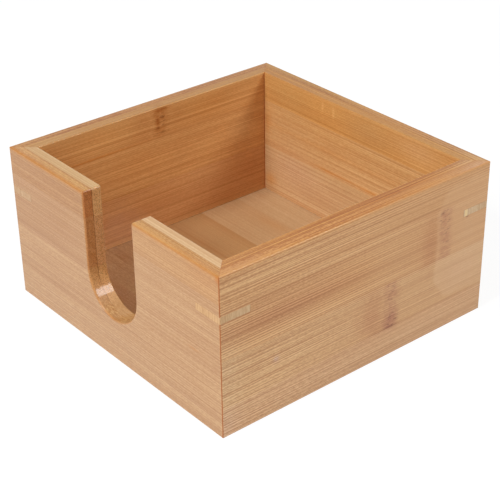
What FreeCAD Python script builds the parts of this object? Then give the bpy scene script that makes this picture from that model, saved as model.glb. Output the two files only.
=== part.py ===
import FreeCAD, Part
import math
import os

# Square open-topped bamboo box for paper napkins, with a thumb notch in its front wall.
#
# Millimetres. The origin is the middle of the footprint, on the table; +X is right, +Y is
# back and +Z is up. The notched wall is the front one, at -Y.
#
# Each wall is a board of two plies glued face to face, and each ply is bamboo strips glued
# edge to edge with their grain along the wall. The boards are mitred at the corners, and a
# thin key let into a saw kerf across each corner ties the two boards together. The floor
# is a panel of strips whose edges sit in a groove round the inside of the walls.
#
# A board is worked whole, as in the shop: its outline and notch are cut, its edges are
# rounded, it is mitred, grooved and kerfed. Only then is it divided along its glue lines,
# so that every feature runs on from strip to strip.

Vector = FreeCAD.Vector

# Box
BOX_X = 150.0            # outside, left to right
BOX_Y = 150.0            # outside, front to back
BOX_HEIGHT = 75.0
PLY = 4.75               # one ply; a wall is two

# Heights of the glue lines between the four strips of an outer ply
FRONT_SEAMS = (13.3, 37.8, 62.3)
OTHER_SEAMS = (13.9, 36.5, 61.0)
INNER_SEAM_DROP = 0.6    # the inner ply's glue lines lie lower than the outer ply's by this
NARROWEST_STRIP = 5.0    # a narrower remainder stays part of its neighbour

# Thumb notch in the front wall: straight sides on a half-round bottom
NOTCH_WIDTH = 35.0
NOTCH_SILL = 20.5        # lowest point of the notch above the table
NOTCH_OFFSET = 1.0       # its centre line lies right of the box's middle
NOTCH_LIP = 1.0          # radius of its two corners at the rim

# Sanded edges
RIM_ROUND = 0.9          # outer edge of the rim and of the notch
INNER_EASE = 0.5         # inner edge of the rim and of the notch
FOOT_EASE = 0.4          # outer edge at the table
CORNER_EASE = 0.5        # the four upright corners

# Floor panel and its groove
FLOOR_TOP = 10.5         # height of the floor's upper face
FLOOR_THICK = 5.0
FLOOR_STRIP = 23.6       # width of a floor strip; one glue line is in the middle
GROOVE_DEPTH = 3.5       # into the inner ply
GROOVE_ROOM = 0.3        # left beyond the floor's edge, for the wood to move
GROOVE_SLACK = 0.15      # left above the floor's edge

# Mitre keys
KEY_THICK = 3.2
KEY_BELOW_RIM = 20.7     # middle of a key below the rim
FRONT_RIGHT_RISE = 1.3   # the front right key sits higher than the others by this
KEY_COVER = 2.8          # wood left between the kerf's bottom and the inside corner
GLUE_FILM = 0.05         # between a key and each side of its kerf

# Worked out from the above
WALL = 2 * PLY
INSIDE_X = BOX_X - 2 * WALL
INSIDE_Y = BOX_Y - 2 * WALL
NOTCH_RADIUS = NOTCH_WIDTH / 2
KEY_HEIGHT = BOX_HEIGHT - KEY_BELOW_RIM
FRONT_RIGHT_KEY_HEIGHT = KEY_HEIGHT + FRONT_RIGHT_RISE
KEY_LEG = 2 * WALL - math.sqrt(2) * KEY_COVER
OVERSHOOT = 5.0          # how far a cutting solid stands past what it cuts
SAME = 1e-6              # two places closer than this are the same place


def block(low, high):
    """Box between two corners."""
    size = high - low
    return Part.makeBox(size.x, size.y, size.z, low)


def prism(points, height):
    """Upright prism on a closed polygon."""
    outline = Part.makePolygon(points + [points[0]])
    return Part.Face(outline).extrude(Vector(0, 0, height))


def kept_seams(low, high, seams):
    """Edges of the strips between low and high: both ends, and the seams well inside."""
    first, last = low + NARROWEST_STRIP, high - NARROWEST_STRIP
    return [low] + [seam for seam in seams if first < seam < last] + [high]


def line(start, end):
    return Part.LineSegment(start, end).toShape()


def quarter(start, corner, end):
    """Quarter circle from start to end that rounds off a square corner."""
    centre = start + end - corner
    middle = centre + (corner - centre).normalize() * (start - centre).Length
    return Part.Arc(start, middle, end).toShape()


def rim_edges(length, notched):
    """The board's upper outline from its left end to its right end, in the XZ plane."""
    left_end = Vector(-length / 2, 0, BOX_HEIGHT)
    right_end = Vector(length / 2, 0, BOX_HEIGHT)
    if not notched:
        return [line(left_end, right_end)]

    spring = NOTCH_SILL + NOTCH_RADIUS
    lip_x = Vector(NOTCH_LIP, 0, 0)
    lip_z = Vector(0, 0, NOTCH_LIP)
    left = Vector(NOTCH_OFFSET - NOTCH_RADIUS, 0, BOX_HEIGHT)
    right = Vector(NOTCH_OFFSET + NOTCH_RADIUS, 0, BOX_HEIGHT)
    left_spring = Vector(left.x, 0, spring)
    right_spring = Vector(right.x, 0, spring)
    bottom = Vector(NOTCH_OFFSET, 0, NOTCH_SILL)
    return [
        line(left_end, left - lip_x),
        quarter(left - lip_x, left, left - lip_z),
        line(left - lip_z, left_spring),
        Part.Arc(left_spring, bottom, right_spring).toShape(),
        line(right_spring, right - lip_z),
        quarter(right - lip_z, right, right + lip_x),
        line(right + lip_x, right_end),
    ]


def edges_at(shape, y, rim):
    """The edges of a board's face at y: its upper outline, or else its lower edge."""
    ends = (shape.BoundBox.XMin, shape.BoundBox.XMax)
    found = []
    for edge in shape.Edges:
        box = edge.BoundBox
        on_face = abs(box.YMin - y) < SAME and abs(box.YMax - y) < SAME
        upright_end = box.XLength < SAME and any(abs(box.XMin - x) < SAME for x in ends)
        at_table = box.ZMax < SAME
        if on_face and not upright_end and at_table != rim:
            found.append(edge)
    return found


def board(length, notched):
    """Square-ended board with its outer face at y = 0 and its edges rounded."""
    left_foot = Vector(-length / 2, 0, 0)
    right_foot = Vector(length / 2, 0, 0)
    rise = Vector(0, 0, BOX_HEIGHT)
    edges = rim_edges(length, notched)
    edges += [line(right_foot + rise, right_foot)]
    edges += [line(right_foot, left_foot)]
    edges += [line(left_foot, left_foot + rise)]
    outline = Part.Wire(Part.__sortEdges__(edges))
    solid = Part.Face(outline).extrude(Vector(0, WALL, 0))
    solid = solid.makeFillet(RIM_ROUND, edges_at(solid, 0, rim=True))
    solid = solid.makeFillet(INNER_EASE, edges_at(solid, WALL, rim=True))
    return solid.makeFillet(FOOT_EASE, edges_at(solid, 0, rim=False))


def key_prism(half_x, half_y, height, film):
    """Three-cornered plate across the upright corner at half_x, half_y."""
    leg = KEY_LEG + math.sqrt(2) * film
    half_thick = KEY_THICK / 2 + film
    corner = Vector(half_x, half_y, height - half_thick)
    along_x = Vector(-math.copysign(leg, half_x), 0, 0)
    along_y = Vector(0, -math.copysign(leg, half_y), 0)
    return prism([corner, corner + along_x, corner + along_y], 2 * half_thick)


def footprint(size_x, size_y):
    """Prism of the box's outline with its upright corners eased, past both its ends."""
    low = Vector(-size_x / 2, -size_y / 2, -OVERSHOOT)
    high = Vector(size_x / 2, size_y / 2, BOX_HEIGHT + OVERSHOOT)
    solid = block(low, high)
    upright = [edge for edge in solid.Edges if edge.BoundBox.ZLength > BOX_HEIGHT]
    return solid.makeFillet(CORNER_EASE, upright)


def wall(length, depth, notched, key_heights):
    """One whole wall along X at the front of a box that is length by depth."""
    outside = -depth / 2
    inside = outside + WALL
    solid = board(length, notched).translated(Vector(0, outside, 0))

    mitred = [
        Vector(-length / 2, outside, 0),
        Vector(length / 2, outside, 0),
        Vector(length / 2 - WALL, inside, 0),
        Vector(-length / 2 + WALL, inside, 0),
    ]
    solid = solid.common(prism(mitred, BOX_HEIGHT))

    groove_low = Vector(-length / 2, inside - GROOVE_DEPTH, FLOOR_TOP - FLOOR_THICK)
    groove_high = Vector(length / 2, inside + OVERSHOOT, FLOOR_TOP + GROOVE_SLACK)
    solid = solid.cut(block(groove_low, groove_high))

    for end, height in zip((-length / 2, length / 2), key_heights):
        solid = solid.cut(key_prism(end, outside, height, GLUE_FILM))
    return solid.common(footprint(length, depth))


def wall_strips(name, length, depth, notched, seams, key_heights):
    """A wall divided along its glue lines; the notch splits a strip into left and right."""
    solid = wall(length, depth, notched, key_heights)
    outside = -depth / 2
    plies = [
        ("outer", outside, seams),
        ("inner", outside + PLY, [seam - INNER_SEAM_DROP for seam in seams]),
    ]
    strips = {}
    for ply, face, ply_seams in plies:
        edges = kept_seams(0, BOX_HEIGHT, ply_seams)
        for number, (bottom, top) in enumerate(zip(edges, edges[1:]), start=1):
            low = Vector(-length / 2, face, bottom)
            high = Vector(length / 2, face + PLY, top)
            pieces = solid.common(block(low, high)).Solids
            pieces.sort(key=lambda piece: piece.CenterOfMass.x)
            sides = [""] if len(pieces) == 1 else ["_left", "_right"]
            for side, piece in zip(sides, pieces):
                strips[f"{name}_wall_{ply}_strip_{number}{side}"] = piece
    return strips


def all_walls():
    """The four walls, each made at the front and turned to its side of the box."""
    plain = KEY_HEIGHT
    raised = FRONT_RIGHT_KEY_HEIGHT
    sides = [
        ("front", BOX_X, BOX_Y, True, FRONT_SEAMS, (plain, raised), 0),
        ("right", BOX_Y, BOX_X, False, OTHER_SEAMS, (raised, plain), 90),
        ("back", BOX_X, BOX_Y, False, OTHER_SEAMS, (plain, plain), 180),
        ("left", BOX_Y, BOX_X, False, OTHER_SEAMS, (plain, plain), 270),
    ]
    nodes = {}
    for name, length, depth, notched, seams, key_heights, turn in sides:
        strips = wall_strips(name, length, depth, notched, seams, key_heights)
        for node, strip in strips.items():
            nodes[node] = strip.rotated(Vector(0, 0, 0), Vector(0, 0, 1), turn)
    return nodes


def floor_strips():
    """The floor panel, its edges in the groove, divided along its glue lines."""
    reach = GROOVE_DEPTH - GROOVE_ROOM
    half_x = INSIDE_X / 2 + reach
    half_y = INSIDE_Y / 2 + reach
    across = math.ceil(half_y / FLOOR_STRIP)
    seams = [FLOOR_STRIP * place for place in range(-across, across + 1)]
    edges = kept_seams(-half_y, half_y, seams)
    nodes = {}
    for number, (front, back) in enumerate(zip(edges, edges[1:]), start=1):
        low = Vector(-half_x, front, FLOOR_TOP - FLOOR_THICK)
        high = Vector(half_x, back, FLOOR_TOP)
        nodes[f"floor_strip_{number}"] = block(low, high)
    return nodes


def mitre_keys():
    """One key in each corner's kerf, sanded flush with the eased corner."""
    corners = [
        ("front_left", -BOX_X / 2, -BOX_Y / 2, KEY_HEIGHT),
        ("front_right", BOX_X / 2, -BOX_Y / 2, FRONT_RIGHT_KEY_HEIGHT),
        ("back_left", -BOX_X / 2, BOX_Y / 2, KEY_HEIGHT),
        ("back_right", BOX_X / 2, BOX_Y / 2, KEY_HEIGHT),
    ]
    outline = footprint(BOX_X, BOX_Y)
    nodes = {}
    for name, half_x, half_y, height in corners:
        key = key_prism(half_x, half_y, height, 0).common(outline)
        nodes[f"mitre_key_{name}"] = key.Solids[0]
    return nodes


def main():
    os.makedirs("parts", exist_ok=True)
    nodes = {**all_walls(), **floor_strips(), **mitre_keys()}
    for name, solid in nodes.items():
        solid.exportStep(f"parts/{name}.step")
        print(f"{name}: {solid.Volume:.1f} mm3, valid {solid.isValid()}")
    print(f"{len(nodes)} nodes")


main()
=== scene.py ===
import bpy
import math
from mathutils import Matrix, Vector


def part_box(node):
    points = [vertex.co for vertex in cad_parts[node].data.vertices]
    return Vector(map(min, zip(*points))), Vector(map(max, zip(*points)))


# A square bamboo napkin box: four mitred walls of two plies, a floor of strips and four keys.
# Every piece comes from the frame, so this file gives each one its bamboo, and adds the
# table that it stands on, the lights and the camera. Lengths inside the materials are in
# millimetres, measured in the frame. Everything else is in metres.

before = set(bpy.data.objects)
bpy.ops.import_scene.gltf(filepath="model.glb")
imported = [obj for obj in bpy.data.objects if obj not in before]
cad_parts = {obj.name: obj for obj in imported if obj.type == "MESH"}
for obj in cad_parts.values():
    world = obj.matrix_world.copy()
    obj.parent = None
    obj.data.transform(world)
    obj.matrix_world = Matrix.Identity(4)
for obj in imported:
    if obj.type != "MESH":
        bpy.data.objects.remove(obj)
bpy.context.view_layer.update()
boxes = {node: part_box(node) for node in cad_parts}

MM_PER_M = 1000.0
X, Y, Z = Vector((1, 0, 0)), Vector((0, 1, 0)), Vector((0, 0, 1))
DIAGONAL = (X + Y).normalized()
COUNTER_DIAGONAL = (X - Y).normalized()

# The box's faces and the joint between the plies, in millimetres from its middle or from
# the table
OUTSIDE = max(corner.x for box in boxes.values() for corner in box) * MM_PER_M
RIM = max(corner.z for box in boxes.values() for corner in box) * MM_PER_M
PLY_JOINT = boxes["right_wall_outer_strip_1"][0].x * MM_PER_M
AT_RIM = 0.01            # a piece whose top is this near the rim is part of it

# Camera, matched to a 500 x 500 picture on a 36 mm sensor
CAMERA_PLACE = Vector((0.41923, -0.34015, 0.33555))
CAMERA_AIM = Vector((0.00667, -0.00417, 0.02417))
CAMERA_ROLL = math.radians(-0.838)
CAMERA_LENS = 98.20
CAMERA_SHIFT_Y = 0.025
CAMERA_NEAREST = 0.01

# Lights: direction from the box, distance, size, power
KEY_LIGHT = ((0.0, -0.75, 0.66), 1.6, (0.5, 0.5), 20.0)
WINDOW_LIGHT = ((0.643, 0.455, 0.623), 1.2, (0.30, 0.45), 5.0)

# Surroundings: their colour, and their strength for the light that they give
SKY = (0.8, 0.8, 0.8, 1)
SKY_FILL = 0.30

# Table: its side, its colour for the light that it throws back, and the darker colour and
# the glow that it shows, which add up to white outside the box's shadow
TABLE_SIDE = 8.0
TABLE_WHITE = (0.8, 0.8, 0.8, 1)
TABLE_SHOWN = (0.18, 0.18, 0.18, 1)
TABLE_GLOW = 0.88

# Noises of the wood: length along the grain and width across it of their features, their
# detail, and the number that picks their pattern
NOISES = {
    "bands": (400, 8.0, 1, 0),
    "streaks": (260, 1.8, 1, 1),
    "lines": (140, 0.45, 0, 2),
    "clouds": (20, 5.0, 2, 3),
    "pores": (1.4, 0.25, 0, 4),
    "end_blotches": (12, 1.6, 3, 5),
    "sheen": (40, 1.2, 2, 6),
    "end_flecks": (8, 0.45, 1, 7),
    "ridge_drift": (500, 6, 1, 8),
    "ridge_patches": (60, 7, 1, 9),
    "relief": (70, 0.62, 0, 2),
    "fine_relief": (22, 0.35, 0, 3),
    "bend": (250, 30, 1, 19),
    "bend_at_knuckle": (12, 6, 1, 20),
    "scar_sway": (400, 4, 2, 21),
    "scar_mottle": (2.4, 1.6, 2, 22),
    "scar_dashes": (2.2, 0.6, 1, 23),
    "scar_fray": (5, 0.8, 1, 24),
    "scar_clusters": (6, 5, 1, 25),
    "lacquer_edge": (9, 3, 2, 31),
    "lacquer_breaks": (14, 5, 2, 32),
    "glue_waver": (2.5, 2.5, 1, 41),
    "glue_breaks": (30, 3.0, 2, 42),
    "patch_edge": (11, 9, 2, 51),
}

# Noises used as masks: two values of the noise, which lies round 0, and the mask's values at
# them, with a smooth step between
MASKS = {
    "ridge_patches": (-0.12, 0.12, 0.0, 1.0),
    "end_blotches": (-0.15, 0.15, 0.0, 0.55),
    "end_flecks": (0.02, 0.20, 0.0, 0.8),
    "scar_mottle": (-0.16, 0.16, 0.35, 1.0),
    "scar_dashes": (0.11, 0.22, 0.0, 1.0),
    "scar_clusters": (-0.10, 0.10, 0.25, 1.0),
    "lacquer_breaks": (-0.15, 0.12, 0.15, 0.45),
    "glue_breaks": (-0.12, 0.10, 0.25, 1.0),
}
NOISE_ROUGHNESS = 0.55

# Fibre bundles: length, width and pattern. Their pores: distances from a bundle's middle, in
# bundles, where the dark begins and is full, and how dark it is at each.
BUNDLE = (8.0, 0.50, 1)
BUNDLE_PORES = (0.50, 0.15, 0.0, 0.60)

SEED_MOVE = 13.7         # how far a piece's seed moves its noises, in features
PATTERN_MOVE = 31.1      # how far a pattern's number moves them
MOVE_ACROSS = 0.37       # shares of that move across the grain and through the piece
MOVE_THROUGH = 0.71

# Layers of the figure. Wear takes the broad ones down only half as far as the others.
LAYERS = ("bands", "streaks", "lines", "clouds", "pores")
BROAD_LAYERS = ("bands", "clouds")
RIDGE_PITCH = 1.1
RIDGE_DRIFT = 1.6        # in ridges

# How squarely a face looks along a direction, from 0 to 1: where it begins to count as a
# narrow face, as cut across the grain or as a rounded edge, and where it counts in full
NARROW_FACE = (0.75, 0.95)
CUT_FACE = (0.45, 0.85)
ROUNDED_EDGE = (0.97, 0.80)
ROUNDED_GAIN = 1.4       # keeps it full until the edge has turned by 45 degrees

# Keys: how far their fibres lean, sideways for each millimetre up, and the one whose kerf
# stands open, with the filler in it, from and to along the key, and how soft its edges are
KEY_SLANT = 0.5
FILLED_KEY = "mitre_key_back_right"
FILLED_KERF = (9.0, 10.2)
FILLER_EDGE = 0.15

# Lacquer and relief
ROUGHNESS = 0.42
ROUGHNESS_SPREAD = 0.25
SPECULAR = 0.2
BUMP_STRENGTH = 0.2
BUMP_DISTANCE = 0.0001   # in metres
BUNDLE_RELIEF = 0.8      # how far fibre bundles stand out, against the noises
COAT = 0.5
COAT_LOST_AT_EDGES = 0.35
COAT_ROUGHNESS = 0.10
COAT_ON_RIM = 0.60       # share of the coat on the rim, and depths where it grows to all
COAT_ON_RIM_DEPTHS = (0.6, 2.6)

# Lacquer gathered along the rim: how far from its outer edge it ends and is full, and how
# much that wavers
GATHERED = (2.2, 0.4)
GATHERED_WAVER = 2.0

# Glue lines: half widths where they end and where they are full, a mitre's measured along
# the wall, and how much they waver.
# A mitre's shows less on the narrow faces, and the one between the plies less where they
# aren't cut: how squarely the face looks, from and to, and how strongly they show there.
MITRE_LINE = (0.42, 0.16)
PLY_LINE = (0.27, 0.06)
GLUE_WAVER = 0.35
MITRE_SHOWS = (0.9, 0.3, 0.25, 0.8)
PLY_SHOWS = (0.2, 0.8, 0.12, 0.75)


def srgb(red, green, blue):
    """Linear colour of an 8-bit sRGB one."""
    def linear(value):
        value /= 255
        if value <= 0.04045:
            return value / 12.92
        return ((value + 0.055) / 1.055) ** 2.4
    return (linear(red), linear(green), linear(blue), 1.0)


# Bamboo looks: the wood's middle colour, its narrow faces ("rim"), its cut across the grain
# ("end") and the edges where the lacquer gathers. The numbers are how strong the layers of
# its figure and its sawn ridges are, how strong the figure is on the rim, and how much
# lacquer has gathered there.
FRONT_OUTER = {
    "wood": srgb(188, 142, 96), "rim": srgb(196, 142, 82), "end": srgb(190, 134, 82),
    "edge": srgb(196, 126, 56), "rim_figure": 1.6, "gather": 0.35,
    "bands": 0.14, "streaks": 0.12, "lines": 0.56, "clouds": 0.15, "pores": 0.45, "ridges": 0.03,
}
FRONT_INNER = {
    "wood": srgb(204, 158, 108), "rim": srgb(208, 166, 114), "end": srgb(216, 164, 108),
    "edge": srgb(212, 158, 92), "rim_figure": 0.8, "gather": 0.15,
    "bands": 0.20, "streaks": 0.18, "lines": 0.50, "clouds": 0.12, "pores": 0.30, "ridges": 0.0,
}
SIDE_OUTER = {
    "wood": srgb(207, 154, 99), "rim": srgb(196, 133, 70), "end": srgb(186, 120, 62),
    "edge": srgb(204, 140, 78), "rim_figure": 1.2, "gather": 0.0,
    "bands": 0.13, "streaks": 0.09, "lines": 1.25, "clouds": 0.15, "pores": 0.80, "ridges": 0.30,
}
SIDE_INNER = {
    "wood": srgb(214, 154, 90), "rim": srgb(192, 133, 68), "end": srgb(206, 148, 92),
    "edge": srgb(196, 136, 72), "rim_figure": 1.3, "gather": 0.0,
    "bands": 0.24, "streaks": 0.25, "lines": 0.55, "clouds": 0.16, "pores": 0.35, "ridges": 0.01,
}
FLOOR = {
    "wood": srgb(202, 157, 115), "rim": srgb(202, 157, 115), "end": srgb(206, 148, 92),
    "edge": srgb(202, 157, 115), "rim_figure": 1.0, "gather": 0.0,
    "bands": 0.14, "streaks": 0.13, "lines": 0.26, "clouds": 0.05, "pores": 0.25, "ridges": 0.0,
}
KEY = {
    "wood": srgb(203, 160, 112),
    "bands": 0.05, "streaks": 0.03, "lines": 0.52, "clouds": 0.05, "pores": 0.36, "ridges": 0.0,
}

# Looks of single strips and keys where they differ from the others'
OWN = {
    "front_wall_outer_strip_2": {
        "rim": srgb(188, 138, 84), "end": srgb(204, 150, 94), "bands": 0.19,
    },
    "front_wall_outer_strip_3_left": {
        "wood": srgb(183, 136, 90), "end": srgb(193, 132, 79), "bands": 0.06,
    },
    "front_wall_outer_strip_4_left": {
        "wood": srgb(178, 128, 78), "end": srgb(195, 126, 73), "bands": 0.07,
    },
    "front_wall_outer_strip_4_right": {"wood": srgb(189, 140, 89)},
    "front_wall_inner_strip_2": {"rim": srgb(190, 142, 90), "end": srgb(212, 158, 100)},
    "front_wall_inner_strip_3_left": {"end": srgb(213, 156, 103)},
    "front_wall_inner_strip_4_left": {"end": srgb(224, 170, 112)},
    "front_wall_inner_strip_4_right": {"rim": srgb(217, 175, 127)},
    "right_wall_outer_strip_1": {"wood": srgb(211, 161, 112)},
    "right_wall_outer_strip_2": {"wood": srgb(211, 161, 108)},
    "right_wall_outer_strip_3": {"wood": srgb(206, 151, 96)},
    "right_wall_outer_strip_4": {
        "wood": srgb(208, 153, 97), "edge": srgb(212, 158, 106), "rim_figure": 1.5,
    },
    "right_wall_inner_strip_4": {"rim": srgb(193, 130, 64), "rim_figure": 1.9, "lines": 1.0},
    "left_wall_outer_strip_4": {"rim": srgb(178, 119, 64), "rim_figure": 1.5},
    "left_wall_inner_strip_1": {"wood": srgb(220, 164, 106)},
    "left_wall_inner_strip_2": {"wood": srgb(214, 155, 98)},
    "left_wall_inner_strip_3": {"wood": srgb(218, 159, 97)},
    "left_wall_inner_strip_4": {
        "wood": srgb(219, 159, 96), "rim": srgb(191, 137, 76), "edge": srgb(202, 152, 98),
        "rim_figure": 1.1,
    },
    "back_wall_outer_strip_4": {"rim": srgb(183, 123, 60)},
    # The back wall's inner strips are paler and bluer lower down: partly their own tone, partly
    # painted reflection of the pale surroundings.
    "back_wall_inner_strip_1": {"wood": srgb(201, 154, 105)},
    "back_wall_inner_strip_2": {"wood": srgb(202, 160, 112)},
    "back_wall_inner_strip_3": {"wood": srgb(204, 156, 104)},
    "back_wall_inner_strip_4": {"wood": srgb(204, 149, 89), "rim": srgb(196, 137, 68)},
    # The floor strips get paler towards the back: partly their own tone, partly painted light
    # standing in for the front wall's shadow over the floor's front.
    "floor_strip_1": {"wood": srgb(190, 138, 88), "clouds": 0.26, "pores": 0.60},
    "floor_strip_2": {"wood": srgb(195, 147, 96), "clouds": 0.26, "pores": 0.60},
    "floor_strip_3": {"wood": srgb(193, 146, 97), "clouds": 0.25},
    "floor_strip_4": {"wood": srgb(192, 146, 97)},
    "floor_strip_5": {"wood": srgb(200, 160, 116)},
    "floor_strip_6": {"wood": srgb(203, 166, 123)},
    "mitre_key_front_left": {"wood": srgb(191, 153, 113)},
    "mitre_key_back_right": {"wood": srgb(206, 168, 124)},
}
PORE = srgb(92, 48, 22)
GLUE = srgb(168, 88, 36)
DARK_GLUE = srgb(118, 70, 38)
FILLER = srgb(238, 206, 152)

# What the darkest, middle and palest fibres multiply the wood's colour by, and their tones
FIBRES = (
    (0.2, (0.80, 0.68, 0.60, 1)),
    (0.5, (1, 1, 1, 1)),
    (0.8, (1.26, 1.45, 1.65, 1)),
)

# What a mark on the wood multiplies its colour by
TINTS = {
    "dark": (0.80, 0.70, 0.58, 1),
    "red": (0.88, 0.76, 0.70, 1),
    "pale": (1.12, 1.20, 1.32, 1),
    "orange": (1.02, 0.80, 0.52, 1),
    "gold": (1.04, 0.98, 0.82, 1),
    "pink": (1.02, 1.02, 1.14, 1),
    # Painted sheen: paler and bluer, standing in for light and reflections of the pale
    # surroundings on the lacquer
    "painted_light_haze": (1.04, 1.13, 1.26, 1),
    "milky": (1.06, 1.12, 1.24, 1),
    "rosy": (0.89, 0.89, 1.15, 1),
    "lilac": (0.98, 1.08, 1.60, 1),
    "grey": (1.10, 1.20, 1.36, 1),
    "purple": (0.84, 0.72, 0.74, 1),
    "brown": (0.80, 0.66, 0.52, 1),
    "amber": (0.84, 0.70, 0.48, 1),
    "umber": (0.76, 0.58, 0.42, 1),
    "cool": (0.93, 1.00, 1.10, 1),
    "light": (1.12, 1.14, 1.12, 1),
    "spot": (0.50, 0.36, 0.32, 1),
}

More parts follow.
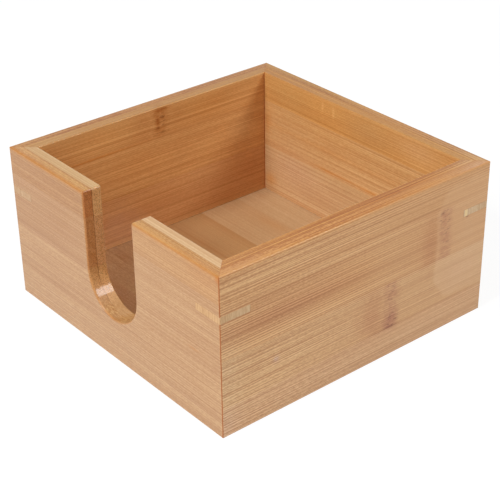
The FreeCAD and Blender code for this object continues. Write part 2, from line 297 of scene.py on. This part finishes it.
# Marks on the broad faces, by ply or key: place along and up (or across), half length, half
# width, tint and strength. Long thin ones are darker or lighter streaks of the culm.
# Some marks are painted light and shade: the pale, bluish sheen marks are painted reflections
# and light, and a few dark ones are painted shade in the inner back corner.
MARKS = {
    "front_wall_outer": [
        (-50, 17.5, 26, 0.8, "dark", 0.40),
        (-60, 40.8, 18, 1.2, "dark", 0.25),
        (-45, 47.5, 30, 0.7, "red", 0.35),
        (-50, 65.5, 34, 0.7, "red", 0.45),
        (-60, 60.5, 18, 1.6, "red", 0.30),
        (-45, 48, 45, 26, "red", 0.22),
        (55, 46.5, 30, 0.6, "dark", 0.20),
        (66, 70, 12, 7, "orange", 0.22),
        (74.3, 73.6, 1.6, 1.6, "orange", 1.4),
        (57.5, 34.4, 3.2, 0.5, "orange", 0.8),
        (62, 61, 16, 0.6, "dark", 0.3),
        (0, 8, 90, 6, "painted_light_haze", 0.25),
    ],
    "right_wall_outer": [
        (-73, 32, 9, 22, "painted_light_haze", 0.75),
        (-42, 48.5, 42, 5.5, "red", 0.75),
        (-30, 44.5, 30, 1.0, "dark", 0.35),
        (-25, 38.4, 55, 0.5, "pale", 0.7),
        (-20, 59.6, 55, 0.5, "pale", 0.7),
        (-25, 65.6, 50, 0.5, "pale", 0.6),
        (-10, 69.8, 60, 0.5, "pale", 0.6),
        (5, 68.6, 60, 0.5, "dark", 0.4),
        (35, 62.6, 24, 0.5, "dark", 0.5),
        (-47, 26, 1.5, 1.3, "lilac", 1.0),
        (-73, 4, 6, 7, "lilac", 0.25),
        (5, 35.6, 40, 0.5, "red", 0.7),
        (5, 23, 8, 9, "red", 0.75),
        (17.4, 17.2, 2.8, 3.6, "purple", 1.6),
        (12.0, 16.5, 4.0, 3.0, "red", 0.5),
        (17.0, 14.5, 3.4, 0.4, "spot", 0.6),
        (20.4, 17.2, 1.0, 0.5, "spot", 0.7),
        (16.8, 19.6, 1.2, 0.4, "spot", 0.5),
        (18.2, 34.4, 1.0, 0.4, "spot", 0.4),
        (13.0, 14.2, 8.0, 0.35, "brown", 0.9),
        (46.6, 59.2, 1.2, 0.6, "spot", 0.9),
        (47.2, 55.0, 1.0, 0.4, "spot", 0.5),
        (50.6, 50.4, 0.9, 0.4, "spot", 0.5),
        (50.4, 44.2, 1.0, 0.4, "spot", 0.5),
        (39.5, 44, 5, 12, "red", 0.55),
        (44.8, 40, 0.7, 15, "pale", 0.22),
        (45, 14.1, 26, 0.5, "brown", 0.55),
        (0, 5, 90, 6, "painted_light_haze", 0.2),
        (-55, 68.5, 24, 6, "painted_light_haze", 0.25),
        (14, 48, 14, 9, "painted_light_haze", 0.48),
        (62.4, 52.3, 0.9, 0.35, "spot", 0.9),
        (0, 48, 24, 9, "gold", 0.40),
        (63, 45, 9, 8, "painted_light_haze", 0.35),
        (60, 27, 13, 8, "pink", 0.45),
        (-13, 25, 10, 8, "red", 0.12),
    ],
    "left_wall_inner": [
        (0, 74.8, 90, 0.5, "cool", 1.0),
        (0, 74.8, 90, 0.5, "dark", 0.25),
        (1.9, 73.4, 4.2, 1.1, "umber", 1.1),
        (-0.4, 67.8, 1.2, 3.0, "umber", 1.0),
        (2.8, 69.7, 0.8, 0.6, "spot", 0.7),
        (-0.2, 64.4, 0.8, 0.5, "spot", 0.6),
        (2.5, 65.6, 0.7, 0.5, "spot", 0.6),
        (1.3, 62.0, 1.8, 0.45, "spot", 0.4),
        (2.8, 61.7, 1.2, 0.4, "spot", 0.4),
        (11, 68, 6, 6, "brown", 0.30),
        (-34, 68, 16, 7, "light", 1.0),
        (30, 68, 16, 7, "brown", 0.22),
        (-14, 50, 22, 9, "orange", 0.28),
        (-14, 50, 22, 9, "brown", 0.10),
        (12, 50, 12, 9, "brown", 0.16),
        (52, 50, 9, 9, "painted_light_haze", 0.9),
        (28, 29, 18, 8, "painted_light_haze", 0.25),
        # painted shade low down in the back corner
        (56, 24, 9, 9, "dark", 0.35),
        (-20, 36.2, 16, 0.5, "dark", 0.9),
        (0, 22, 90, 14, "red", 0.45),
        (15, 40.6, 40, 0.5, "dark", 0.6),
        (20, 38.4, 45, 0.4, "dark", 0.35),
        (0, 34.2, 60, 0.4, "pale", 0.45),
        (10, 30.0, 40, 0.5, "dark", 0.6),
        (5, 27.5, 45, 0.4, "dark", 0.5),
        (25, 21.4, 40, 0.5, "dark", 0.7),
        (0, 18.6, 50, 0.4, "pale", 0.3),
        (0, 13.4, 60, 0.5, "dark", 0.5),
        (-35, 59.9, 26, 0.5, "orange", 0.8),
        # painted shade along the back corner
        (72, 40, 4, 60, "dark", 0.35),
        (0, 44.5, 50, 0.5, "dark", 0.35),
        (56, 50, 8, 8, "painted_light_haze", 0.45),
        (-20, 68, 14, 7, "light", 0.30),
        (55, 68, 9, 7, "painted_light_haze", 0.35),
        (27, 68, 17, 7, "gold", 0.50),
        (-14, 28, 18, 8, "gold", 0.40),
        (26, 28, 18, 8, "painted_light_haze", 0.20),
        (56, 26, 8, 8, "red", 0.20),
    ],
    "back_wall_inner": [
        (-10, 66, 90, 20, "gold", 0.9),
        (-55, 70, 26, 5, "dark", 0.25),
        (-50, 67, 20, 9, "cool", 0.9),
        (-48, 48, 20, 9, "cool", 0.5),
        (8, 68, 16, 8, "cool", 0.9),
        (44, 68, 16, 8, "grey", 1.0),
        # painted reflection: the lower wall paler and pinker
        (-42, 30, 16, 9, "pink", 0.9),
        (-20, 62, 60, 0.9, "dark", 0.50),
        (20, 58.6, 40, 0.4, "pale", 0.6),
        (-38, 51, 22, 0.5, "pale", 0.5),
        (-20, 48.5, 60, 1.4, "orange", 0.25),
        # painted reflection: the lower wall paler and pinker
        (0, 20, 90, 13, "pink", 0.6),
        (-17, 38.0, 9, 0.7, "orange", 0.9),
        (-3, 38.2, 6, 0.6, "orange", 0.6),
        (13, 38.0, 9, 0.9, "orange", 0.9),
        (-22.4, 70.8, 0.6, 2.0, "pale", 1.6),
        (-14.8, 69.8, 0.7, 2.8, "pale", 1.5),
        (-9.5, 55.4, 1.4, 0.6, "pale", 0.8),
        (-61.5, 17.5, 4.5, 3.5, "orange", 0.8),
        (-63, 50, 2.5, 8, "orange", 0.5),
        (39, 70, 14, 5, "lilac", 0.28),
        (8, 68, 16, 8, "lilac", 0.15),
    ],
    "mitre_key_front_right": [
        (8, 55.6, 6, 4, "grey", 1.0),
        (-8, 55.6, 6, 4, "brown", 0.25),
    ],
    "mitre_key_back_right": [
        (8, 54.3, 7, 4, "grey", 0.7),
    ],
    "floor": [
        (-32, 43, 12, 3.0, "orange", 0.3),
        (-10, 5, 60, 1.0, "red", 0.6),
        (-46, 12, 22, 8, "painted_light_haze", 0.5),
        (-56, -33, 4, 0.6, "dark", 0.8),
        (-53, -30, 3, 0.5, "dark", 0.7),
        (-44, 5, 18, 1.6, "orange", 0.15),
    ],
}

# Marks on the rim, by ply: place along and through the wall, half length, half width, tint
# and strength
# Some rim marks are painted light: the pale, bluish sheen marks and the glint along the right
# wall's outer edge are painted highlights and reflections.
RIM_MARKS = {
    "right_wall_inner": [
        (24, 69.1, 26, 0.95, "umber", 1.0),
        (-14, 68.0, 24, 0.42, "umber", 0.9),
        (-28, 69.9, 46, 0.26, "umber", 0.95),
        (-30, 69.1, 42, 0.28, "pale", 0.9),
        (24, 66.9, 26, 0.30, "brown", 0.8),
        (24, 67.6, 30, 0.28, "pale", 0.6),
        (-40, 66.4, 40, 0.35, "pale", 0.45),
        (-64, 68, 16, 4, "lilac", 0.45),
        (64, 68, 14, 4, "lilac", 0.80),
        (64, 68, 14, 4, "painted_light_haze", 0.40),
        (70, 68, 8, 4, "painted_light_haze", 1.00),
        (70, 68, 8, 4, "lilac", 0.25),
        (66, 65.8, 14, 0.7, "painted_light_haze", 0.90),
    ],
    "right_wall_outer": [
        (-8, 71.7, 36, 0.34, "pale", 1.0),
        (-8, 70.7, 50, 0.22, "brown", 0.6),
        (12, 73.3, 30, 1.4, "amber", 0.40),
        (-5, 72.9, 50, 0.24, "amber", 0.7),
        (10, 74.0, 60, 0.24, "brown", 0.5),
        (-64, 73, 18, 3, "rosy", 0.90),
        (64, 73, 15, 4, "lilac", 0.70),
        (64, 73, 15, 4, "painted_light_haze", 0.30),
        (70, 73, 8, 4, "painted_light_haze", 0.60),
        (70, 73, 8, 4, "lilac", 0.30),
        # painted highlight: a glint along the rim's outer edge
        (64, 74.7, 16, 0.9, "lilac", 0.60),
    ],
    "back_wall_inner": [
        (68, 68, 30, 4, "painted_light_haze", 0.95),
        (72, 68, 14, 4, "lilac", 0.45),
        (-60, 68, 30, 4, "dark", 0.32),
    ],
    "back_wall_outer": [
        (40, 70.4, 34, 0.22, "brown", 1.2),
        (66, 73, 34, 4, "lilac", 0.80),
        (70, 73, 26, 4, "painted_light_haze", 0.95),
        (73, 73, 12, 4, "pale", 0.60),
        (20, 73, 40, 3, "pink", 0.60),
        (-45, 73.2, 45, 3, "cool", 1.0),
        (-45, 73.2, 45, 3, "dark", 0.20),
    ],
    "front_wall_outer": [
        (-66, -73, 14, 5, "pink", 0.9),
        (66, -73, 9, 5, "pink", 0.9),
        (35, -71, 30, 0.3, "dark", 0.5),
        (-40, -73.4, 40, 0.4, "orange", 0.4),
        (50, -73.2, 30, 0.5, "orange", 0.4),
    ],
    "left_wall_inner": [
        (2.0, -67.5, 3.2, 2.4, "brown", 0.5),
        (10, -70.1, 75, 1.2, "dark", 0.30),
        (14, -69, 30, 2.4, "amber", 0.40),
        # painted highlight along the rim's inner edge
        (5, -66.6, 80, 0.9, "painted_light_haze", 0.50),
        (-62, -68, 20, 3.5, "painted_light_haze", 0.75),
    ],
    "left_wall_outer": [
        (10, -71.5, 75, 1.0, "amber", 0.25),
        (-62, -73, 24, 3.5, "painted_light_haze", 0.70),
        (50, -73, 20, 2, "painted_light_haze", 0.50),
        (-20, -72.5, 2.4, 1.6, "red", 0.9),
        (20, -72, 70, 4, "pink", 0.5),
    ],
}

# A mark has faded away at this many of its half widths
FADED = 3

# Where a ply is worn, and where it is paler. "sanded": where along it its fine lines begin to
# fade and where they are down to a share, which is all that is left of them from there on.
# "milky": place along and up, half length and half height of a paler, greyer patch on the face.
WORN = {
    "right_wall_outer": {"sanded": (-55, 40, 0.36), "milky": (69, 43, 26, 28)},
}

# Milky patch: where it begins and is full, in fourth powers of its half size, how much that
# wavers, and the share of the fine lines that it hides
MILKY_EDGE = (1.10, 0.80)
MILKY_WAVER = 0.65
MILKY_HIDES = 0.45

# Knuckles of the bamboo, by strip: place along it, half width of the scar, strength, tint
KNUCKLES = {
    "right_wall_outer_strip_2": (17.5, 3.6, 1.00, "purple"),
    "right_wall_outer_strip_3": (49.1, 2.9, 1.00, "purple"),
    "left_wall_inner_strip_4": (1.4, 3.6, 1.00, "brown"),
    "back_wall_outer_strip_2": (-31.0, 3.6, 0.85, "brown"),
    "back_wall_outer_strip_4": (42.0, 3.0, 0.70, "purple"),
    "left_wall_outer_strip_1": (36.0, 2.8, 0.75, "brown"),
    "left_wall_outer_strip_3": (-22.0, 3.4, 0.80, "purple"),
    "right_wall_inner_strip_2": (-38.0, 3.2, 0.75, "brown"),
    "right_wall_inner_strip_4": (24.0, 2.8, 0.70, "brown"),
    "front_wall_inner_strip_1": (49.0, 2.8, 0.70, "purple"),
}

# Scar of a knuckle: how far outside its half width it ends and inside it is full, how much
# its edges sway and fray, and how much the grain bends round it
SCAR_SOFTNESS = (2.4, 2.0)
SCAR_SWAY = 4.0
SCAR_FRAY = 4.5
KNUCKLE_BEND = 1.6
SCAR_SHARE = 1.0         # how strong its parts are
DASHES_SHARE = 0.85
SHADE_SHARE = 0.40
LINE_SHARE = 0.25
SHADE_BEFORE = 2.7       # places of the shade and the pale line before it, in half widths
LINE_BEFORE = 1.45
SHADE_REACH = 5 / 3      # how far they reach: in half widths, and in millimetres
LINE_REACH = 2 / 3


class Graph:
    """The nodes of a material or world, made by short calls that give back output sockets."""

    def __init__(self, owner):
        owner.use_nodes = True
        self.tree = owner.node_tree
        self.tree.nodes.clear()

    def feed(self, socket, value):
        if isinstance(value, bpy.types.NodeSocket):
            self.tree.links.new(value, socket)
        else:
            socket.default_value = value

    def node(self, kind, settings=None, **inputs):
        node = self.tree.nodes.new("ShaderNode" + kind)
        for name, value in (settings or {}).items():
            setattr(node, name, value)
        for name, value in inputs.items():
            self.feed(node.inputs[name.replace("_", " ")], value)
        return node

    def math(self, operation, *values):
        node = self.node("Math", {"operation": operation})
        for socket, value in zip(node.inputs, values):
            self.feed(socket, value)
        return node.outputs[0]

    def add(self, *values):
        total = values[0]
        for value in values[1:]:
            total = self.math("ADD", total, value)
        return total

    def times(self, *values):
        total = values[0]
        for value in values[1:]:
            total = self.math("MULTIPLY", total, value)
        return total

    def less(self, value, other):
        return self.math("SUBTRACT", value, other)

    def size(self, value):
        return self.math("ABSOLUTE", value)

    def larger(self, value, other):
        return self.math("MAXIMUM", value, other)

    def dot(self, vector, direction):
        node = self.node("VectorMath", {"operation": "DOT_PRODUCT"})
        self.feed(node.inputs[0], vector)
        self.feed(node.inputs[1], direction)
        return node.outputs["Value"]

    def step(self, value, start, end, low=0.0, high=1.0):
        """Smooth step from low at start to high at end, which may be the smaller one."""
        return self.node(
            "MapRange",
            {"interpolation_type": "SMOOTHSTEP"},
            Value=value,
            From_Min=start,
            From_Max=end,
            To_Min=low,
            To_Max=high,
        ).outputs["Result"]

    def bell(self, *offsets):
        """1 where all offsets are 0, falling off as they near and pass 1."""
        squares = [self.times(offset, offset) for offset in offsets]
        return self.math("EXPONENT", self.times(self.add(*squares), -1.0))

    def offset(self, value, place, reach):
        """How far a value is from a place, in reaches."""
        return self.times(self.less(value, place), 1 / reach)

    def mix(self, share, first, second, blend="MIX"):
        node = self.node("Mix", {"data_type": "RGBA", "blend_type": blend})
        self.feed(node.inputs[0], share)
        self.feed(node.inputs[6], first)
        self.feed(node.inputs[7], second)
        return node.outputs[2]

    def tint(self, share, colour, by):
        """A colour multiplied by another one, as far as the share says."""
        return self.mix(share, colour, by, "MULTIPLY")

    def ramp(self, value, stops):
        node = self.node("ValToRGB", Fac=value)
        elements = node.color_ramp.elements
        while len(elements) < len(stops):
            elements.new(0.5)
        for element, (place, colour) in zip(elements, stops):
            element.position = place
            element.color = colour
        return node.outputs["Color"]


class Grain:
    """A piece's own directions in a material, in millimetres, and its noises."""

    def __init__(self, graph, axes, seed):
        self.graph = graph
        self.seed = seed
        scaled = graph.node("VectorMath", {"operation": "SCALE"}, Scale=MM_PER_M)
        graph.feed(scaled.inputs[0], graph.node("TexCoord").outputs["Object"])
        self.place = scaled.outputs[0]
        normal = graph.node("NewGeometry").outputs["Normal"]
        self.along, self.across, self.through = (graph.dot(self.place, axis) for axis in axes)
        self.end, self.side, self.face = (graph.size(graph.dot(normal, axis)) for axis in axes)
        self.height = graph.dot(self.place, Z)
        self.reach_x = graph.size(graph.dot(self.place, X))
        self.reach_y = graph.size(graph.dot(self.place, Y))

    def stretched(self, length, width, pattern, bend=0.0):
        """The place in a noise drawn out along the grain, moved on for each seed and pattern."""
        graph = self.graph
        move = self.seed * SEED_MOVE + pattern * PATTERN_MOVE
        across = graph.add(self.across, bend) if bend else self.across
        return graph.node(
            "CombineXYZ",
            X=graph.math("MULTIPLY_ADD", self.along, 1 / length, move),
            Y=graph.math("MULTIPLY_ADD", across, 1 / width, move * MOVE_ACROSS),
            Z=graph.math("MULTIPLY_ADD", self.through, 1 / width, move * MOVE_THROUGH),
        ).outputs[0]

    def noise(self, name, bend=0.0):
        """One of the noises, round 0."""
        length, width, detail, pattern = NOISES[name]
        node = self.graph.node(
            "TexNoise",
            Vector=self.stretched(length, width, pattern, bend),
            Scale=1.0,
            Detail=detail,
            Roughness=NOISE_ROUGHNESS,
        )
        return self.graph.less(node.outputs[0], 0.5)

    def mask(self, name):
        """One of the noises, as a mask."""
        return self.graph.step(self.noise(name), *MASKS[name])

    def bundles(self):
        """Distance to the middle of the nearest fibre bundle, in bundles."""
        place = self.stretched(*BUNDLE)
        return self.graph.node("TexVoronoi", Vector=place, Scale=1.0).outputs["Distance"]


def fibre_tone(graph, grain, look, bend=0.0, left=None):
    """Light and dark of the fibres, 0.5 in the middle, with the share that wear has left."""
    tone = 0.5
    for layer in LAYERS:
        strength = look[layer]
        if left is not None:
            broad = layer in BROAD_LAYERS
            share = graph.math("MULTIPLY_ADD", left, 0.5, 0.5) if broad else left
            strength = graph.times(share, strength)
        tone = graph.add(graph.times(grain.noise(layer, bend), strength), tone)
    if look["ridges"]:
        drift = graph.times(grain.noise("ridge_drift"), RIDGE_DRIFT)
        rows = graph.add(graph.times(graph.add(grain.across, bend), 1 / RIDGE_PITCH), drift)
        wave = graph.math("SINE", graph.times(rows, math.tau))
        ridges = graph.times(wave, grain.mask("ridge_patches"), look["ridges"])
        if left is not None:
            ridges = graph.times(ridges, left)
        tone = graph.add(tone, ridges)
    return tone


def figured(graph, tone, wood):
    """The wood's colour, lighter or darker with the tone of its fibres."""
    return graph.tint(1.0, graph.ramp(tone, FIBRES), wood)


def extent(node, axis):
    """Lowest and highest place of a piece along an axis, in millimetres."""
    return [corner.dot(axis) * MM_PER_M for corner in boxes[node]]


def add_marks(graph, colour, marks, along, across, reach, facing):
    """Tints the marks on a face that lie within its reach across the grain."""
    low, high = reach
    for place_along, place_across, length, width, tint, strength in marks:
        faded = FADED * width
        if place_across + faded < low or place_across - faded > high:
            continue
        along_off = graph.offset(along, place_along, length)
        across_off = graph.offset(across, place_across, width)
        near = graph.bell(along_off, across_off)
        colour = graph.tint(graph.times(near, facing, strength), colour, TINTS[tint])
    return colour


def add_knuckle(graph, grain, colour, knuckle):
    """The scar of a leaf sheath across the strip: a mottled, dashed band after a pale line."""
    place, reach, strength, tint = knuckle
    outside, inside = SCAR_SOFTNESS
    sway = graph.times(grain.noise("scar_sway"), SCAR_SWAY)
    fray = graph.times(grain.noise("scar_fray"), SCAR_FRAY)
    off = graph.less(graph.add(grain.along, sway, fray), place)
    band = graph.step(graph.size(off), reach + outside, reach - inside)
    mottle = grain.mask("scar_mottle")
    dashes = graph.times(grain.mask("scar_dashes"), grain.mask("scar_clusters"))
    shade = graph.bell(graph.offset(off, -SHADE_BEFORE * reach, SHADE_REACH * reach))
    line = graph.bell(graph.offset(off, -LINE_BEFORE * reach, LINE_REACH))
    layers = (
        (shade, SHADE_SHARE, TINTS["red"]),
        (graph.times(band, mottle), SCAR_SHARE, TINTS[tint]),
        (line, LINE_SHARE, TINTS["pale"]),
        (graph.times(band, dashes), DASHES_SHARE, TINTS["spot"]),
    )
    for mask, share, layer_tint in layers:
        colour = graph.tint(graph.times(mask, grain.face, share * strength), colour, layer_tint)
    return colour


def wear(graph, grain, worn):
    """Share of the fine lines that wear has left, and where the face has a paler, greyer patch.
    """
    start, end, share = worn["sanded"]
    along, up, length, height = worn["milky"]
    waver = graph.times(grain.noise("patch_edge"), MILKY_WAVER)
    along_off = graph.offset(grain.along, along, length)
    up_off = graph.offset(grain.across, up, height)
    # Fourth powers make a patch that is nearly a rounded rectangle
    fourths = [graph.times(off, off, off, off) for off in (along_off, up_off)]
    patch = graph.step(graph.add(*fourths, waver), *MILKY_EDGE)
    sanded = graph.step(grain.along, start, end, 1.0, share)
    left = graph.times(sanded, graph.less(1.0, graph.times(patch, MILKY_HIDES)))
    return left, patch


def add_narrow_faces(graph, grain, colour, tone, look, marks, reach):
    """The rim and the other narrow faces, with their own colour, figure and marks."""
    strength = look["rim_figure"]
    rim_tone = graph.math("MULTIPLY_ADD", tone, strength, 0.5 - 0.5 * strength)
    rim = figured(graph, rim_tone, look["rim"])
    rim = add_marks(graph, rim, marks, grain.along, grain.through, reach, 1.0)
    return graph.mix(graph.step(grain.side, *NARROW_FACE), colour, rim)


def add_end_grain(graph, grain, colour, look):
    """Pores of the fibre bundles where the strip is cut across."""
    end = graph.tint(grain.mask("end_blotches"), look["end"], TINTS["brown"])
    end = graph.tint(grain.mask("end_flecks"), end, TINTS["pale"])
    end = graph.mix(graph.step(grain.bundles(), *BUNDLE_PORES), end, PORE)
    return graph.mix(graph.step(grain.end, *CUT_FACE), colour, end)


def rounded_edge(graph, grain):
    """1 where a broad face rounds over into a narrow one."""
    rounded = graph.times(grain.face, graph.step(grain.face, *ROUNDED_EDGE), ROUNDED_GAIN)
    return graph.math("MINIMUM", rounded, 1.0)


def add_edges(graph, grain, colour, look):
    """Golden lacquer on the rounded edges, heavier along the rim's outer edge."""
    down = graph.less(RIM, grain.height)
    inwards = graph.less(OUTSIDE, graph.size(grain.through))
    waver = graph.times(grain.noise("lacquer_edge"), GATHERED_WAVER)
    gathered = graph.step(graph.add(down, inwards, waver), *GATHERED)
    on_edges = graph.times(rounded_edge(graph, grain), grain.mask("lacquer_breaks"))
    share = graph.larger(on_edges, graph.times(gathered, look["gather"]))
    return graph.mix(share, colour, look["edge"])


def add_glue_lines(graph, grain, colour):
    """Dark lines of glue: between the plies on the end grain, and at the mitred corners."""
    waver = graph.times(grain.noise("glue_waver"), GLUE_WAVER)
    from_mitre = graph.size(graph.less(grain.reach_x, grain.reach_y))
    mitre = graph.step(graph.add(from_mitre, waver), *MITRE_LINE)
    mitre = graph.times(mitre, graph.step(grain.side, *MITRE_SHOWS))
    colour = graph.mix(mitre, colour, GLUE)
    from_ply = graph.size(graph.less(graph.size(grain.through), PLY_JOINT))
    ply = graph.step(graph.add(from_ply, waver), *PLY_LINE)
    ply = graph.times(ply, grain.mask("glue_breaks"), graph.step(grain.end, *PLY_SHOWS))
    return graph.mix(ply, colour, DARK_GLUE)


def finish_wood(graph, grain, colour, bend=0.0):
    """Satin lacquer over wood whose fibres stand out a little."""
    relief = graph.add(grain.noise("relief", bend), grain.noise("fine_relief", bend))
    relief = graph.add(relief, graph.times(grain.bundles(), grain.end, BUNDLE_RELIEF))
    bump = graph.node("Bump", Strength=BUMP_STRENGTH, Distance=BUMP_DISTANCE, Height=relief)
    roughness = graph.add(graph.times(grain.noise("sheen"), ROUGHNESS_SPREAD), ROUGHNESS)
    top, bottom = COAT_ON_RIM_DEPTHS
    on_rim = graph.step(grain.height, RIM - top, RIM - bottom, COAT_ON_RIM, 1.0)
    rounded = rounded_edge(graph, grain)
    coat = graph.times(graph.math("MULTIPLY_ADD", rounded, -COAT_LOST_AT_EDGES, COAT), on_rim)
    shader = graph.node(
        "BsdfPrincipled",
        Base_Color=colour,
        Roughness=roughness,
        Normal=bump.outputs[0],
        Specular_IOR_Level=SPECULAR,
        Coat_Weight=coat,
        Coat_Roughness=COAT_ROUGHNESS,
    )
    graph.node("OutputMaterial", Surface=shader.outputs[0])


def look_of(node):
    """Look and grain directions (along, across, through) of a piece."""
    inner = "_inner_" in node
    if node.startswith("floor"):
        look, axes = FLOOR, (X, Y, Z)
    elif node.startswith("mitre"):
        along = COUNTER_DIAGONAL if node.endswith(("front_left", "back_right")) else DIAGONAL
        look, axes = KEY, (along, Z, along.cross(Z))
    elif node.startswith("front"):
        look, axes = FRONT_INNER if inner else FRONT_OUTER, (X, Z, Y)
    else:
        look = SIDE_INNER if inner else SIDE_OUTER
        axes = (X, Z, Y) if node.startswith("back") else (Y, Z, X)
    return {**look, **OWN.get(node, {})}, axes


def bamboo(node, seed):
    """Lacquered bamboo of a strip, with its grain along the first of its directions."""
    look, axes = look_of(node)
    ply = node.split("_strip")[0]
    knuckle, worn = KNUCKLES.get(node), WORN.get(ply)
    material = bpy.data.materials.new("bamboo_" + node)
    graph = Graph(material)
    grain = Grain(graph, axes, seed)
    bend = grain.noise("bend")
    if knuckle:
        place, reach, strength = knuckle[:3]
        near = graph.bell(graph.offset(grain.along, place, 2 * reach))
        more = graph.times(grain.noise("bend_at_knuckle"), near, KNUCKLE_BEND * strength)
        bend = graph.add(bend, more)
    left, patch = wear(graph, grain, worn) if worn else (None, None)
    tone = fibre_tone(graph, grain, look, bend, left)
    colour = figured(graph, tone, look["wood"])
    if worn:
        colour = graph.tint(patch, colour, TINTS["milky"])
    marks = MARKS.get(ply, ())
    up_reach = extent(node, axes[1])
    colour = add_marks(graph, colour, marks, grain.along, grain.across, up_reach, grain.face)
    if knuckle:
        colour = add_knuckle(graph, grain, colour, knuckle)
    at_rim = boxes[node][1].z * MM_PER_M > RIM - AT_RIM
    rim_marks = RIM_MARKS.get(ply, ()) if at_rim else ()
    through_reach = extent(node, axes[2])
    colour = add_narrow_faces(graph, grain, colour, tone, look, rim_marks, through_reach)
    colour = add_end_grain(graph, grain, colour, look)
    if not node.startswith("floor"):
        colour = add_edges(graph, grain, colour, look)
        colour = add_glue_lines(graph, grain, colour)
    finish_wood(graph, grain, colour, bend)
    return material


def key_wood(node, seed):
    """Lacquered key whose fibres are cut on a slant, and filler where its kerf stands open."""
    look, axes = look_of(node)
    along, up, through = axes
    material = bpy.data.materials.new("wood_" + node)
    graph = Graph(material)
    grain = Grain(graph, axes, seed)
    slant = (up + along * KEY_SLANT).normalized()
    fibres = Grain(graph, (slant, along, through), seed)
    colour = figured(graph, fibre_tone(graph, fibres, look), look["wood"])
    marks = MARKS.get(node, ())
    colour = add_marks(graph, colour, marks, grain.along, grain.across, (0, RIM), 1.0)
    if node == FILLED_KEY:
        start, end = FILLED_KERF
        filled = graph.times(
            graph.step(grain.along, start - FILLER_EDGE, start + FILLER_EDGE),
            graph.step(grain.along, end + FILLER_EDGE, end - FILLER_EDGE),
        )
        colour = graph.mix(filled, colour, FILLER)
    finish_wood(graph, grain, colour)
    return material


def dress_all():
    """Gives each CAD piece one material of its own."""
    for seed, node in enumerate(sorted(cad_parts), start=1):
        make = key_wood if node.startswith("mitre") else bamboo
        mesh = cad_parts[node].data
        mesh.materials.clear()
        mesh.materials.append(make(node, seed))


def seen(graph):
    """1 for rays from the camera, straight or by way of metal or glass, and 0 for the light."""
    paths = graph.node("LightPath").outputs
    straight_or_mirrored = graph.larger(paths["Is Camera Ray"], paths["Is Glossy Ray"])
    return graph.larger(straight_or_mirrored, paths["Is Transmission Ray"])


def add_table():
    """White table top that keeps the box's shadow and shows white to the camera."""
    material = bpy.data.materials.new("white_table")
    graph = Graph(material)
    plain = graph.node("BsdfDiffuse", Color=TABLE_WHITE)
    shade = graph.node("BsdfDiffuse", Color=TABLE_SHOWN)
    glow = graph.node("Emission", Color=(1, 1, 1, 1), Strength=TABLE_GLOW)
    bright = graph.node("AddShader")
    graph.feed(bright.inputs[0], shade.outputs[0])
    graph.feed(bright.inputs[1], glow.outputs[0])
    choice = graph.node("MixShader", Fac=seen(graph))
    graph.feed(choice.inputs[1], plain.outputs[0])
    graph.feed(choice.inputs[2], bright.outputs[0])
    graph.node("OutputMaterial", Surface=choice.outputs[0])
    bpy.ops.mesh.primitive_plane_add(size=TABLE_SIDE, location=(0, 0, 0))
    table = bpy.context.object
    table.name = "table"
    table.data.materials.append(material)


def add_world():
    """Pale surroundings, dimmer for what they light than for what sees them."""
    world = bpy.data.worlds.new("studio")
    bpy.context.scene.world = world
    graph = Graph(world)
    strength = graph.step(seen(graph), 0.0, 1.0, SKY_FILL, 1.0)
    sky = graph.node("Background", Color=SKY, Strength=strength)
    graph.node("OutputWorld", Surface=sky.outputs[0])


def add_light(name, direction, distance, size, power):
    """Rectangular soft light that shines at the box from a direction."""
    lamp = bpy.data.lights.new(name, "AREA")
    lamp.shape = "RECTANGLE"
    lamp.size, lamp.size_y = size
    lamp.energy = power
    lamp_object = bpy.data.objects.new(name, lamp)
    bpy.context.scene.collection.objects.link(lamp_object)
    away = Vector(direction).normalized()
    lamp_object.location = away * distance
    lamp_object.rotation_euler = away.to_track_quat("Z", "Y").to_euler()


def add_camera():
    """Camera that looks at the box as the photo does."""
    camera = bpy.data.cameras.new("camera")
    camera.lens = CAMERA_LENS
    camera.shift_y = CAMERA_SHIFT_Y
    camera.clip_start = CAMERA_NEAREST
    camera_object = bpy.data.objects.new("camera", camera)
    bpy.context.scene.collection.objects.link(camera_object)
    turn = (CAMERA_AIM - CAMERA_PLACE).to_track_quat("-Z", "Y").to_matrix().to_4x4()
    roll = Matrix.Rotation(CAMERA_ROLL, 4, "Z")
    camera_object.matrix_world = Matrix.Translation(CAMERA_PLACE) @ turn @ roll
    bpy.context.scene.camera = camera_object


def main():
    dress_all()
    add_table()
    add_world()
    add_light("key", *KEY_LIGHT)
    add_light("window", *WINDOW_LIGHT)
    add_camera()
    bpy.context.scene.view_settings.view_transform = "Standard"


main()
